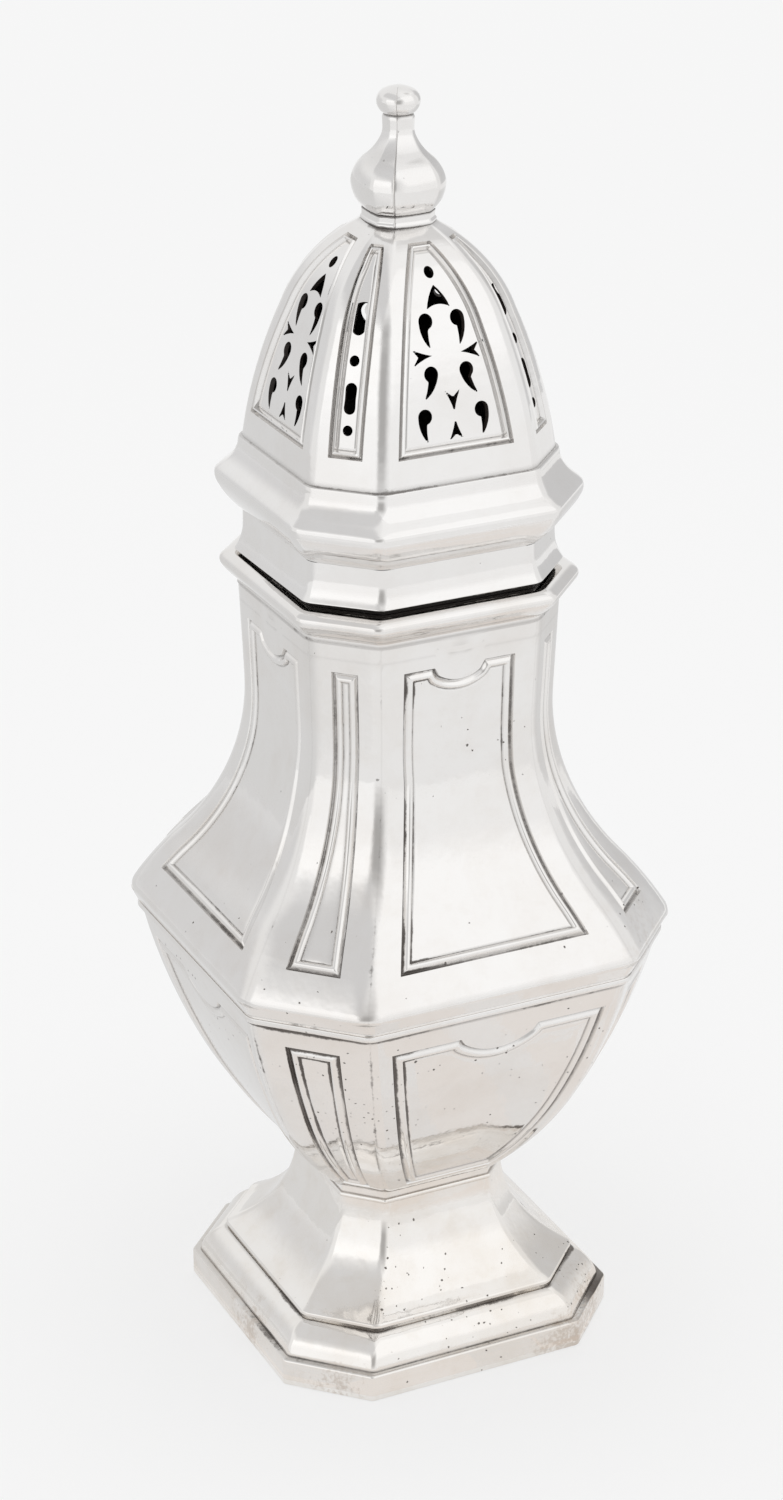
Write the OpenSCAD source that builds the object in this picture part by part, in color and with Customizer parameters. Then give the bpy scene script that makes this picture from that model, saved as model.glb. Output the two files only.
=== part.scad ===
// Sugar caster in panelled silver: a hollow body on a spreading foot, and a pierced cover that lifts off.
// Its section is a square with cut corners, so every level has four broad sides and four narrow ones.
// Each piece is a side profile carried round all eight sides and mitred at the ridges.
// Profile points are [half width, height, rise], where rise bows the stretch to the next point out or in.

/* [Section] */
// Half width of the foot's broad sides as a share of their distance from the axis
foot_ratio = 0.635; // [0.58:0.005:0.68]
// The same share on the body
body_ratio = 0.615; // [0.58:0.005:0.66]
// The same share on the cover and the finial
cover_ratio = 0.605; // [0.58:0.005:0.64]

/* [Foot] */
// Width across the broad sides of the foot rim
foot_w = 57.4; // [53:0.2:62]
// Height of the upright foot rim
foot_rim_h = 4.6; // [3:0.1:6.5]
// Thickness of the foot rim
foot_rim_t = 2.2; // [1.8:0.1:3]
// Set-back of the round moulding behind the face of the rim
ovolo_setback = 1; // [0.6:0.1:1.4]
// Height of the round moulding
ovolo_h = 4.6; // [3.6:0.1:6]
// Distance that the round moulding steps in
ovolo_run = 3.7; // [3:0.1:4.6]
// Outward swell of the round moulding
ovolo_swell = 0.75; // [0.3:0.05:1]
// Height of the shadow groove under the pedestal's lip
lip_groove_h = 0.5; // [0.3:0.05:0.9]
// Depth of the shadow groove
lip_groove_d = 0.4; // [0.2:0.05:0.6]
// Height of the lip
lip_h = 0.6; // [0.4:0.05:1]
// Height of the pedestal above its lip
pedestal_h = 15.3; // [12:0.1:20]
// Inward sweep of the pedestal's sides
pedestal_sweep = 2.3; // [1:0.05:2.8]
// Width across the waist between foot and bowl
waist_w = 28.4; // [25:0.2:32]
// Thickness of the collar at the waist
collar_t = 3.2; // [2:0.1:5]
// Height of the bead round the waist
waist_bead_h = 0.9; // [0.6:0.05:1.4]
// Projection of the bead round the waist
waist_bead_out = 0.6; // [0.3:0.05:1]
// Height of the plain band over the bead
waist_band_h = 1.8; // [1.2:0.1:3]

/* [Body] */
// Overhang of the bowl's base beyond the waist
bowl_base_out = 1.2; // [0.4:0.1:2]
// Width across the top of the bowl
bowl_top_w = 69.4; // [64:0.2:76]
// Height of the bowl
bowl_h = 39.1; // [34:0.1:46]
// Height at which the bowl's curve eases, above its base
bowl_turn_h = 17.7; // [14:0.1:21]
// Distance that the bowl has drawn in at that turn
bowl_turn_in = 7; // [5.5:0.1:8.5]
// Outward swell of the lower bowl
bowl_lower_swell = 0.95; // [0.4:0.05:1.4]
// Outward swell of the upper bowl
bowl_upper_swell = 0.62; // [0.3:0.02:1]
// Height of the girdle band round the widest part
girdle_h = 4.2; // [3.4:0.1:6]
// Height of the bead along the foot of the girdle
girdle_bead_h = 1.3; // [0.8:0.05:1.6]
// Projection of that bead from the bowl
girdle_bead_out = 0.6; // [0.3:0.05:0.9]
// Height of the groove over the bead
girdle_groove_h = 0.4; // [0.25:0.05:0.6]
// Depth of the groove over the bead
girdle_groove_d = 0.35; // [0.2:0.05:0.5]
// Projection of the shoulder's edge beyond the bowl
shoulder_out = 1.7; // [1.2:0.1:2.6]
// Height at which the shoulder turns hollow
shoulder_turn_h = 10; // [8:0.1:12]
// Distance that the shoulder has drawn in at that turn
shoulder_turn_in = 7; // [5.5:0.1:8.5]
// Outward swell of the shoulder
shoulder_swell = 0.35; // [0.15:0.05:0.6]
// Height of the hollow flare from the shoulder to the neck
flare_h = 26.4; // [22:0.1:32]
// Inward sweep of the flare
flare_sweep = 2.5; // [1.5:0.05:2.8]
// Width of the mouth
mouth_w = 38.4; // [34:0.2:42]
// Thickness of the neck
neck_t = 1.2; // [1:0.05:2]
// Height of the neck
neck_h = 15.4; // [13:0.1:20]
// Outward spread of the neck under its rim
neck_spread = 0.6; // [0.2:0.05:1]

/* [Rim] */
// Height of the rim moulding round the mouth
rim_h = 5; // [4:0.1:6.5]
// Projection of the rim moulding from the neck
rim_out = 2.4; // [1.6:0.1:3.2]
// Height of the fillet under the rim moulding
rim_fillet_h = 0.7; // [0.4:0.05:1]
// Distance of the rim's widest part below its top
rim_crown_h = 1.4; // [1:0.05:1.8]
// Projection of the rim's flat top from the neck
rim_top_out = 0.8; // [0.4:0.1:1.2]
// Outward swell of the rim below its widest part
rim_under_swell = 0.25; // [0.1:0.05:0.5]
// Outward swell of the rim above its widest part
rim_over_swell = 0.3; // [0.1:0.05:0.5]

/* [Cover] */
// Height of the shadow gap between the rim and the cover
seat_h = 0.6; // [0.5:0.05:1.4]
// Width of the ledge that seats on the rim
seat_w = 1; // [0.7:0.05:1.2]
// Depth of the bezel inside the mouth
bezel_depth = 9.5; // [6:0.1:14]
// Height of the skirt
skirt_h = 6.2; // [5:0.1:8]
// Height of the flared edge of the skirt
skirt_edge_h = 4; // [2.4:0.1:4]
// Outward flare of the skirt's edge
skirt_flare = 1.2; // [0.6:0.1:1.6]
// Inward sweep of the skirt's edge
skirt_sweep = 0.25; // [0.05:0.05:0.3]
// Projection of the cornice
cornice_out = 3.7; // [2.6:0.1:4.8]
// Height from the skirt to the widest part of the cornice
cornice_under_h = 5.4; // [4:0.1:7]
// Outward swell under the cornice
cornice_under_swell = 0.45; // [0.2:0.05:0.7]
// Height of the rounded edge of the cornice
cornice_edge_h = 1.7; // [1.2:0.05:2.2]
// Distance that the rounded edge draws in
cornice_edge_in = 0.8; // [0.5:0.05:1.1]
// Outward swell of the rounded edge
cornice_edge_swell = 0.2; // [0.1:0.05:0.3]
// Height of the hollow between that edge and the dome
cornice_cove_h = 4.6; // [3.6:0.1:6]
// Inward sweep of that hollow
cornice_cove_sweep = 0.6; // [0.3:0.05:0.8]
// Height of the dome
dome_h = 33.6; // [31:0.1:40]
// Height at which the dome's curve tightens
dome_turn_h = 21.1; // [18:0.1:24]
// Distance that the dome has drawn in at that turn
dome_turn_in = 5.3; // [4:0.1:6.5]
// Outward swell of the lower dome
dome_lower_swell = 0.7; // [0.4:0.05:1]
// Outward swell of the upper dome
dome_upper_swell = 1.45; // [0.8:0.05:1.6]
// Width across the top of the dome
dome_top_w = 9.6; // [9:0.2:11]

/* [Finial] */
// Height of the bead under the finial
finial_bead_h = 1.7; // [1.2:0.1:2.6]
// Swell of the bead under the finial
finial_bead_swell = 0.3; // [0.3:0.05:0.6]
// Width across the bulb
bulb_w = 12; // [10.4:0.2:14]
// Height of the bulb up to its widest part
bulb_under_h = 3.9; // [2.4:0.1:4.4]
// Outward swell of the bulb below its widest part
bulb_under_swell = 0.36; // [0.2:0.02:0.5]
// Height from the widest part of the bulb to where it turns hollow
bulb_over_h = 3.5; // [2.8:0.1:4.5]
// Distance that the bulb has drawn in at that turn
bulb_turn_in = 1.55; // [1.2:0.05:2.2]
// Outward swell of the bulb above its widest part
bulb_over_swell = 0.34; // [0.2:0.02:0.6]
// Width across the stem under the ball
stem_w = 3.9; // [3.2:0.1:4.6]
// Height of the hollow from the bulb to the stem
stem_flare_h = 3.9; // [3:0.1:5]
// Inward sweep of that hollow
stem_sweep = 0.35; // [0.3:0.05:0.8]
// Height of the stem
stem_h = 2.7; // [1.4:0.1:3]
// Diameter of the flattened ball
ball_d = 6.4; // [5.6:0.1:8]
// Height of the flattened ball
ball_h = 4.2; // [4:0.1:5.4]
// Depth that the stem is let into the ball
ball_sink = 0.4; // [0.2:0.05:0.8]

/* [Panels] */
// Width of the groove round a body panel
groove_w = 0.6; // [0.3:0.05:0.7]
// Width of the raised ribbon round a body panel
ribbon_w = 1.1; // [0.6:0.05:1.2]
// Width of the groove round a dome panel
dome_groove_w = 0.35; // [0.25:0.05:0.45]
// Width of the raised ribbon round a dome panel
dome_ribbon_w = 0.6; // [0.4:0.05:0.65]
// Depth of the grooves and of the sunk fields
panel_depth = 0.35; // [0.2:0.05:0.5]
// Bottom edge of the bowl panels above the base of the bowl
bowl_panel_low = 1.8; // [1.4:0.1:4]
// Top edge of the bowl panels below the top of the bowl
bowl_panel_top = 3.4; // [2:0.1:5]
// Margin from the bowl's broad panels to the ridges at the bottom
bowl_broad_low = 3; // [2:0.1:4]
// Margin from the bowl's broad panels to the ridges at the top
bowl_broad_top = 2.6; // [2:0.1:4]
// Margin from the bowl's narrow panels to the ridges at the bottom
bowl_narrow_low = 2.6; // [2:0.1:2.9]
// Margin from the bowl's narrow panels to the ridges at the top
bowl_narrow_top = 4.8; // [3.6:0.1:6]
// Width of the dip in the top of the bowl's broad panels
bowl_dip_w = 13; // [9:0.2:16]
// Depth of that dip
bowl_dip_d = 3.4; // [2:0.1:4.2]
// Bottom edge of the upper panels above the edge of the shoulder
upper_panel_low = 5; // [3:0.1:8]
// Top edge of the upper panels below the rim
upper_panel_top = 4.6; // [3:0.1:7]
// Margin from the upper body's broad panels to the ridges at the bottom
upper_broad_low = 4.8; // [3:0.1:6]
// Margin from the upper body's broad panels to the ridges at the top
upper_broad_top = 3.7; // [2.6:0.1:4.6]
// Margin from the upper body's narrow panels to the ridges at the bottom
upper_narrow_low = 4.8; // [3:0.1:6]
// Margin from the upper body's narrow panels to the ridges at the top
upper_narrow_top = 3.6; // [2.6:0.1:4]
// Width of the dip in the top of the upper body's broad panels
upper_dip_w = 8; // [5:0.2:10]
// Depth of that dip
upper_dip_d = 2.4; // [1.4:0.1:3]
// Bottom edge of the dome panels above the foot of the dome
dome_panel_low = 4.3; // [2.6:0.1:5]
// Top edge of the dome panels below the top of the dome
dome_panel_top = 1.6; // [1.4:0.1:4]
// Margin from the dome's broad panels to the ridges at the bottom
dome_broad_low = 2.6; // [1.6:0.1:3]
// Margin from the dome's broad panels to the ridges at the top
dome_broad_top = 2.6; // [1.6:0.1:3]
// Margin from the dome's narrow panels to the ridges at the bottom
dome_narrow_low = 2.8; // [1.8:0.1:3.2]
// Margin from the dome's narrow panels to the ridges at the top
dome_narrow_top = 1; // [0.6:0.1:1.1]

/* [Piercings] */
// Diameter of the round piercings
dot_d = 1.5; // [1:0.1:1.8]
// Diameter of the head of a comma
comma_d = 2.1; // [1.6:0.1:2.4]
// Length of the tail of a comma from the middle of its head
comma_tail = 3.4; // [2.6:0.1:3.6]
// Distance of the tail's tip to the hollow side, from the middle of the head
comma_lean = 0.1; // [0:0.05:0.5]
// Outward bow of a comma's back
comma_back = 0.42; // [0.3:0.02:0.6]
// Inward bow of a comma's hollow side
comma_hook = 0.12; // [0.05:0.01:0.4]
// Angle below level at which a comma's hollow side meets its head
comma_throat = 80; // [20:1:85]
// Outward turn of the middle commas
middle_comma_turn = 20; // [0:1:25]
// Length of a dart
dart_l = 2.7; // [1.8:0.1:2.9]
// Width of a dart across its barbs
dart_w = 2.2; // [1.4:0.1:2.4]
// Depth of the notch behind a dart
dart_notch = 0.7; // [0.4:0.1:1.2]
// Inward bow of a dart's sides
dart_bow = 0.16; // [0.1:0.02:0.3]
// Width across the barbs of the spearhead
spear_w = 3.6; // [2.4:0.1:3.7]
// Height of the spearhead
spear_h = 2.9; // [2:0.1:3.1]
// Outward bow of the spearhead's sides
spear_bow = 0.28; // [0.1:0.02:0.4]
// Rise of the arch in the spearhead's base
spear_arch = 0.55; // [0.4:0.05:0.9]
// Width of the slots in the narrow sides
slot_w = 1.8; // [1.2:0.1:1.9]
// Length of the slots in the narrow sides
slot_l = 4.4; // [3:0.1:4.8]

/* [Places of the piercings] */
// Height of the round piercing of a broad side above the foot of the dome
dot_z = 28.7; // [28.4:0.1:29.6]
// Height of the spearhead's base
spear_z = 24.2; // [23.8:0.1:24.6]
// Height of the upper commas' heads
upper_comma_z = 22.6; // [22.2:0.1:22.8]
// Distance of the upper commas' heads from the middle
upper_comma_x = 2.5; // [2.2:0.1:3]
// Height of the side darts
side_dart_z = 18; // [17.6:0.1:18.4]
// Distance of the side darts' tips from the middle
side_dart_x = 2.5; // [1.6:0.1:3]
// Height of the middle commas' heads
middle_comma_z = 15.4; // [15:0.1:15.8]
// Distance of the middle commas' heads from the middle
middle_comma_x = 3; // [2:0.1:3.4]
// Height of the lower commas' heads
lower_comma_z = 9.8; // [9.4:0.1:10.2]
// Distance of the lower commas' heads from the middle
lower_comma_x = 4.5; // [3.4:0.1:5]
// Height of the tip of the dart that points down
down_dart_z = 10.1; // [9.9:0.1:10.6]
// Height of the tip of the dart that points up
up_dart_z = 8.8; // [8.4:0.1:9.2]
// Height of the upper slot of a narrow side
upper_slot_z = 23.3; // [22.8:0.1:23.8]
// Height of the upper round piercing of a narrow side
upper_dot_z = 17.8; // [17.2:0.1:18.4]
// Height of the lower slot of a narrow side
lower_slot_z = 12.7; // [12.4:0.1:13.4]
// Height of the lower round piercing of a narrow side
lower_dot_z = 8.2; // [7.8:0.1:8.6]

/* [Walls and clearances] */
// Thickness of the raised sheet, measured both across and upright
sheet_t = 1; // [0.8:0.05:1.1]
// Thickness of the skirt
skirt_t = 1.25; // [1:0.05:1.8]
// Thickness of the bezel
bezel_t = 0.8; // [0.6:0.05:1]
// Clearance between the bezel and the mouth on each side
bezel_fit = 0.25; // [0.15:0.05:0.4]

/* [Hidden] */
// Turn of one flat along a curved stretch, in degrees
arc_step = 6;
// Half length of the prisms that make up a piece
reach = foot_w + bowl_top_w;
// Amount by which an open hollow runs past the end of its piece
past = 1;
SILVER = [0.86, 0.85, 0.83];

// Half widths that pieces share
lip_a = foot_w / 2 - ovolo_setback - ovolo_run;
lip_groove_a = lip_a - lip_groove_d;
waist_a = waist_w / 2;
bowl_a = bowl_top_w / 2;
shoulder_a = bowl_a + shoulder_out;
mouth_a = mouth_w / 2;
neck_a = mouth_a + neck_t;
neck_top_a = neck_a + neck_spread;
bezel_a = mouth_a - bezel_fit;
skirt_a = bezel_a + skirt_t;
cornice_a = skirt_a + cornice_out;
dome_top_a = dome_top_w / 2;
bead_a = dome_top_a - finial_bead_swell;
bulb_a = bulb_w / 2;
stem_a = stem_w / 2;

// Heights where each piece or stretch starts, from the table up
ovolo_z = foot_rim_h;
pedestal_z = ovolo_z + ovolo_h;
lip_z = pedestal_z + lip_groove_h;
sweep_z = lip_z + lip_h;
collar_z = sweep_z + pedestal_h;
band_z = collar_z + waist_bead_h;
bowl_z = band_z + waist_band_h;
girdle_z = bowl_z + bowl_h;
shoulder_z = girdle_z + girdle_h;
flare_z = shoulder_z + shoulder_turn_h;
neck_z = flare_z + flare_h;
rim_z = neck_z + neck_h;
seat_z = rim_z + rim_h;
skirt_z = seat_z + seat_h;
cornice_z = skirt_z + skirt_h;
edge_z = cornice_z + cornice_under_h;
cove_z = edge_z + cornice_edge_h;
dome_z = cove_z + cornice_cove_h;
bead_z = dome_z + dome_h;
bulb_z = bead_z + finial_bead_h;
crown_z = bulb_z + bulb_under_h;
bulb_turn_z = crown_z + bulb_over_h;
stem_z = bulb_turn_z + stem_flare_h;
ball_z = stem_z + stem_h - ball_sink;

function spot(p) = [p[0], p[1]];

// Points along an arc from p to q that bows to the right by rise, without q itself
function arc(p, q, rise) =
  rise == 0 ? [p] :
  let (chord = norm(q - p),
       along = (q - p) / chord,
       out = [along[1], -along[0]],
       half = 2 * atan(2 * abs(rise) / chord),
       r = chord / (2 * sin(half)),
       n = ceil(2 * half / arc_step))
  [for (i = [0 : n - 1])
    let (t = half * (2 * i / n - 1))
    (p + q) / 2 + along * r * sin(t) + out * sign(rise) * r * (cos(t) - cos(half))];

// Open profile and closed outline with their arcs filled in
function profile(p) = concat(
  [for (i = [0 : len(p) - 2]) each arc(spot(p[i]), spot(p[i + 1]), p[i][2])],
  [spot(p[len(p) - 1])]);
function outline(p) =
  [for (i = [0 : len(p) - 1]) each arc(spot(p[i]), spot(p[(i + 1) % len(p)]), p[i][2])];

function moved(p, dx, dz) = [for (q = p) [q[0] + dx, q[1] + dz, q[2]]];
function widened(side, k) = [for (q = side) [q[0] * k, q[1]]];
function mirrored(side) = [for (i = [len(side) - 1 : -1 : 0]) [-side[i][0], side[i][1]]];
function width_at(side, z) = lookup(z, [for (q = side) [q[1], q[0]]]);

// Distance and half width of a narrow side as shares of a broad side's distance from the axis
function narrow_reach(ratio) = (1 + ratio) / sqrt(2);
function narrow_half(ratio) = (1 - ratio) / sqrt(2);

// Prism along Y whose two sides follow a profile
module slab(side) {
  rotate([90, 0, 0])
    linear_extrude(2 * reach, center = true)
      polygon(concat(side, mirrored(side)));
}

// Solid with four broad and four narrow sides, all following one profile
module tower(points, ratio) {
  side = profile(points);
  diagonal = widened(side, narrow_reach(ratio));
  intersection() {
    slab(side);
    rotate(90) slab(side);
    rotate(45) slab(diagonal);
    rotate(-45) slab(diagonal);
  }
}

// Straight passage of constant width from low to high
module passage(half, low, high, ratio) {
  tower([[half, low, 0], [half, high, 0]], ratio);
}

// Panel outline drawn in by inset: its sides follow the ridges of the face that it lies on
module panel_outline(side, low, high, low_half, top_half, dip_w, dip_d, inset) {
  low_a = width_at(side, low);
  high_a = width_at(side, high);
  between = [for (q = side) if (q[1] > low + inset && q[1] < high - inset) q[1]];
  right = [for (z = concat([low + inset], between, [high - inset]))
    let (share = (low_a - width_at(side, z)) / (low_a - high_a))
    [low_half + (top_half - low_half) * share - inset, z]];
  difference() {
    polygon(concat(right, mirrored(right)));
    if (dip_d > 0) {
      dip_r = (dip_w * dip_w / 4 + dip_d * dip_d) / (2 * dip_d);
      translate([0, high + dip_r - dip_d]) circle(dip_r + inset, $fn = 64);
    }
  }
}

// What is sunk round a ribbon and inside it, on the side that faces -Y
module panel_cut(side, low, high, low_half, top_half, groove, ribbon, dip_w = 0, dip_d = 0) {
  bed = [for (q = side) [q[0] - panel_depth, q[1]]];
  difference() {
    rotate([90, 0, 0]) linear_extrude(reach) difference() {
      panel_outline(side, low, high, low_half, top_half, dip_w, dip_d, 0);
      difference() {
        panel_outline(side, low, high, low_half, top_half, dip_w, dip_d, groove);
        panel_outline(side, low, high, low_half, top_half, dip_w, dip_d, groove + ribbon);
      }
    }
    rotate(90) slab(bed);
  }
}

// A panel on each broad side, kept by its margins from the ridges
module broad_panels(points, ratio, low, high, low_margin, top_margin, groove, ribbon, dip_w = 0, dip_d = 0) {
  side = profile(points);
  low_half = ratio * width_at(side, low) - low_margin;
  top_half = ratio * width_at(side, high) - top_margin;
  for (i = [0 : 3])
    rotate(90 * i) panel_cut(side, low, high, low_half, top_half, groove, ribbon, dip_w, dip_d);
}

// A panel on each narrow side
module narrow_panels(points, ratio, low, high, low_margin, top_margin, groove, ribbon) {
  side = profile(points);
  low_half = narrow_half(ratio) * width_at(side, low) - low_margin;
  top_half = narrow_half(ratio) * width_at(side, high) - top_margin;
  for (i = [0 : 3])
    rotate(90 * i + 45)
      panel_cut(widened(side, narrow_reach(ratio)), low, high, low_half, top_half, groove, ribbon);
}

// Profiles that more than one shape uses
ovolo_side = [
  [foot_w / 2 - ovolo_setback, ovolo_z, ovolo_swell],
  [lip_a, pedestal_z, 0]];
sweep_side = [
  [lip_a, sweep_z, -pedestal_sweep],
  [waist_a, collar_z, 0]];
bowl_side = [
  [waist_a + bowl_base_out, bowl_z, bowl_lower_swell],
  [bowl_a - bowl_turn_in, bowl_z + bowl_turn_h, bowl_upper_swell],
  [bowl_a, girdle_z, 0]];
upper_side = [
  [shoulder_a, shoulder_z, shoulder_swell],
  [shoulder_a - shoulder_turn_in, flare_z, -flare_sweep],
  [neck_a, neck_z, 0],
  [neck_top_a, rim_z, 0]];
dome_side = [
  [skirt_a, dome_z, dome_lower_swell],
  [skirt_a - dome_turn_in, dome_z + dome_turn_h, dome_upper_swell],
  [dome_top_a, bead_z, 0]];

// Upright band that the caster stands on
module foot_rim() {
  color(SILVER) difference() {
    passage(foot_w / 2, 0, foot_rim_h, foot_ratio);
    passage(foot_w / 2 - foot_rim_t, -past, foot_rim_h + past, foot_ratio);
  }
}

// Round moulding that steps in from the rim
module foot_ovolo() {
  bore = lip_groove_a - 2 * sheet_t;
  color(SILVER) difference() {
    tower(ovolo_side, foot_ratio);
    tower(concat(moved(ovolo_side, -sheet_t, -sheet_t),
                 [[bore, pedestal_z - sheet_t, 0],
                  [bore, pedestal_z + past, 0]]), foot_ratio);
  }
}

// Hollow-sided pedestal with a thin lip at its base
module foot_pedestal() {
  bore = lip_groove_a - sheet_t;
  color(SILVER) difference() {
    tower(concat([[lip_groove_a, pedestal_z, 0],
                  [lip_groove_a, lip_z, 0],
                  [lip_a, lip_z, 0]],
                 sweep_side), foot_ratio);
    tower(concat([[bore, pedestal_z - past, 0],
                  [bore, sweep_z - sheet_t, 0]],
                 moved(sweep_side, -sheet_t, -sheet_t)), foot_ratio);
  }
}

// Collar between the foot and the bowl: a bead under a plain band
module foot_collar() {
  color(SILVER) difference() {
    tower([[waist_a, collar_z, 0],
           [waist_a + waist_bead_out, collar_z + waist_bead_h / 2, 0],
           [waist_a, band_z, 0],
           [waist_a, bowl_z, 0]], foot_ratio);
    passage(waist_a - collar_t, collar_z - past, bowl_z + past, foot_ratio);
  }
}

// Lower half of the body, closed at its base
module bowl() {
  low = bowl_z + bowl_panel_low;
  high = girdle_z - bowl_panel_top;
  color(SILVER) difference() {
    tower(bowl_side, body_ratio);
    tower(moved(bowl_side, -sheet_t, sheet_t), body_ratio);
    broad_panels(bowl_side, body_ratio, low, high, bowl_broad_low, bowl_broad_top, groove_w, ribbon_w,
                 bowl_dip_w, bowl_dip_d);
    narrow_panels(bowl_side, body_ratio, low, high, bowl_narrow_low, bowl_narrow_top, groove_w, ribbon_w);
  }
}

// Moulded band that covers the seam between the two halves of the body
module girdle_band() {
  bead = bowl_a + girdle_bead_out;
  bead_top = girdle_z + girdle_bead_h;
  groove_top = bead_top + girdle_groove_h;
  color(SILVER) difference() {
    tower([[bowl_a, girdle_z, 0],
           [bead, girdle_z + girdle_bead_h / 3, 0],
           [bead, bead_top, 0],
           [bead - girdle_groove_d, bead_top, 0],
           [bead - girdle_groove_d, groove_top, 0],
           [bead, groove_top, 0],
           [shoulder_a, shoulder_z, 0]], body_ratio);
    passage(bowl_a - sheet_t, girdle_z - past, shoulder_z + past, body_ratio);
  }
}

// Upper half of the body: shoulder, flare and neck
module upper_body() {
  low = shoulder_z + upper_panel_low;
  high = rim_z - upper_panel_top;
  inside = moved(upper_side, -sheet_t, -sheet_t);
  color(SILVER) difference() {
    tower(upper_side, body_ratio);
    tower([inside[0],
           inside[1],
           [mouth_a, neck_z - sheet_t, 0],
           [mouth_a, rim_z + past, 0]], body_ratio);
    broad_panels(upper_side, body_ratio, low, high, upper_broad_low, upper_broad_top, groove_w, ribbon_w,
                 upper_dip_w, upper_dip_d);
    narrow_panels(upper_side, body_ratio, low, high, upper_narrow_low, upper_narrow_top, groove_w, ribbon_w);
  }
}

// Applied moulding round the mouth
module neck_rim() {
  color(SILVER) difference() {
    tower([[neck_top_a, rim_z, 0],
           [neck_top_a, rim_z + rim_fillet_h, rim_under_swell],
           [neck_top_a + rim_out, seat_z - rim_crown_h, rim_over_swell],
           [neck_top_a + rim_top_out, seat_z, 0]], body_ratio);
    passage(mouth_a, rim_z - past, seat_z + past, body_ratio);
  }
}

// Sleeve of the cover that drops into the mouth, with the ledge that seats on the rim
module cover_bezel() {
  color(SILVER) difference() {
    tower([[bezel_a, seat_z - bezel_depth, 0],
           [bezel_a, seat_z, 0],
           [mouth_a + seat_w, seat_z, 0],
           [mouth_a + seat_w, skirt_z, 0]], cover_ratio);
    passage(bezel_a - bezel_t, seat_z - bezel_depth - past, skirt_z + past, cover_ratio);
  }
}

// Flared skirt of the cover
module cover_skirt() {
  color(SILVER) difference() {
    tower([[skirt_a + skirt_flare, skirt_z, -skirt_sweep],
           [skirt_a, skirt_z + skirt_edge_h, 0],
           [skirt_a, cornice_z, 0]], cover_ratio);
    passage(bezel_a, skirt_z - past, cornice_z + past, cover_ratio);
  }
}

// Projecting cornice: round under, rounded edge, hollow over
module cover_cornice() {
  color(SILVER) difference() {
    tower([[skirt_a, cornice_z, cornice_under_swell],
           [cornice_a, edge_z, cornice_edge_swell],
           [cornice_a - cornice_edge_in, cove_z, -cornice_cove_sweep],
           [skirt_a, dome_z, 0]], cover_ratio);
    passage(bezel_a, cornice_z - past, dome_z + past, cover_ratio);
  }
}

// Comma with its back to the left: a round head and a hooked tail
module comma() {
  r = comma_d / 2;
  head_rise = r * (1 - cos((180 + comma_throat) / 2));
  polygon(outline([
    [r * cos(comma_throat), -r * sin(comma_throat), head_rise],
    [-r, 0, comma_back],
    [comma_lean, -comma_tail, -comma_hook]]));
}

// Dart that points up, its tip at the origin
module dart() {
  polygon(outline([
    [0, 0, -dart_bow],
    [-dart_w / 2, -dart_l, 0],
    [0, dart_notch - dart_l, 0],
    [dart_w / 2, -dart_l, -dart_bow]]));
}

// Spearhead that stands on an arched base
module spear() {
  polygon(outline([
    [0, spear_h, spear_bow],
    [-spear_w / 2, 0, -spear_arch],
    [spear_w / 2, 0, spear_bow]]));
}

module dot() {
  circle(d = dot_d, $fn = 32);
}

module slot() {
  run = slot_l - slot_w;
  for (end = [-1, 1])
    translate([0, end * run / 2]) circle(d = slot_w, $fn = 32);
  square([slot_w, run], center = true);
}

// Piercings of a broad side, which mirror about its middle
module broad_piercings() {
  translate([0, dot_z]) dot();
  translate([0, spear_z]) spear();
  translate([0, down_dart_z]) rotate(180) dart();
  translate([0, up_dart_z]) dart();
  for (hand = [0, 1]) mirror([hand, 0]) {
    translate([-upper_comma_x, upper_comma_z]) comma();
    translate([-side_dart_x, side_dart_z]) rotate(-90) dart();
    translate([-middle_comma_x, middle_comma_z]) rotate(-middle_comma_turn) mirror([1, 0]) comma();
    translate([-lower_comma_x, lower_comma_z]) comma();
  }
}

// Piercings of a narrow side
module narrow_piercings() {
  translate([0, upper_slot_z]) slot();
  translate([0, upper_dot_z]) dot();
  translate([0, lower_slot_z]) slot();
  translate([0, lower_dot_z]) dot();
}

// Carries a flat pattern out through the side of the dome that faces -Y
module pierce() {
  translate([0, 0, dome_z]) rotate([90, 0, 0]) linear_extrude(reach) children();
}

// Pierced dome of the cover
module pierced_dome() {
  low = dome_z + dome_panel_low;
  high = bead_z - dome_panel_top;
  color(SILVER) difference() {
    tower(dome_side, cover_ratio);
    tower(moved(dome_side, -sheet_t, -sheet_t), cover_ratio);
    broad_panels(dome_side, cover_ratio, low, high, dome_broad_low, dome_broad_top,
                 dome_groove_w, dome_ribbon_w);
    narrow_panels(dome_side, cover_ratio, low, high, dome_narrow_low, dome_narrow_top,
                  dome_groove_w, dome_ribbon_w);
    for (i = [0 : 3]) {
      rotate(90 * i) pierce() broad_piercings();
      rotate(90 * i + 45) pierce() narrow_piercings();
    }
  }
}

// Bead that the finial stands on
module finial_bead() {
  color(SILVER) tower([[bead_a, bead_z, finial_bead_swell], [bead_a, bulb_z, 0]], cover_ratio);
}

// Cast finial: a panelled bulb drawn up to a stem with a flattened ball
module finial() {
  ball_r = ball_h / 2;
  ball_flat = ball_d / 2 - ball_r;
  color(SILVER) {
    tower([[bead_a, bulb_z, bulb_under_swell],
           [bulb_a, crown_z, bulb_over_swell],
           [bulb_a - bulb_turn_in, bulb_turn_z, -stem_sweep],
           [stem_a, stem_z, 0],
           [stem_a, ball_z + ball_sink, 0]], cover_ratio);
    translate([0, 0, ball_z + ball_r]) rotate_extrude($fn = 64) {
      translate([ball_flat, 0]) intersection() {
        circle(ball_r, $fn = 48);
        translate([0, -ball_r]) square([ball_r, ball_h]);
      }
      translate([0, -ball_r]) square([ball_flat, ball_h]);
    }
  }
}

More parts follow.
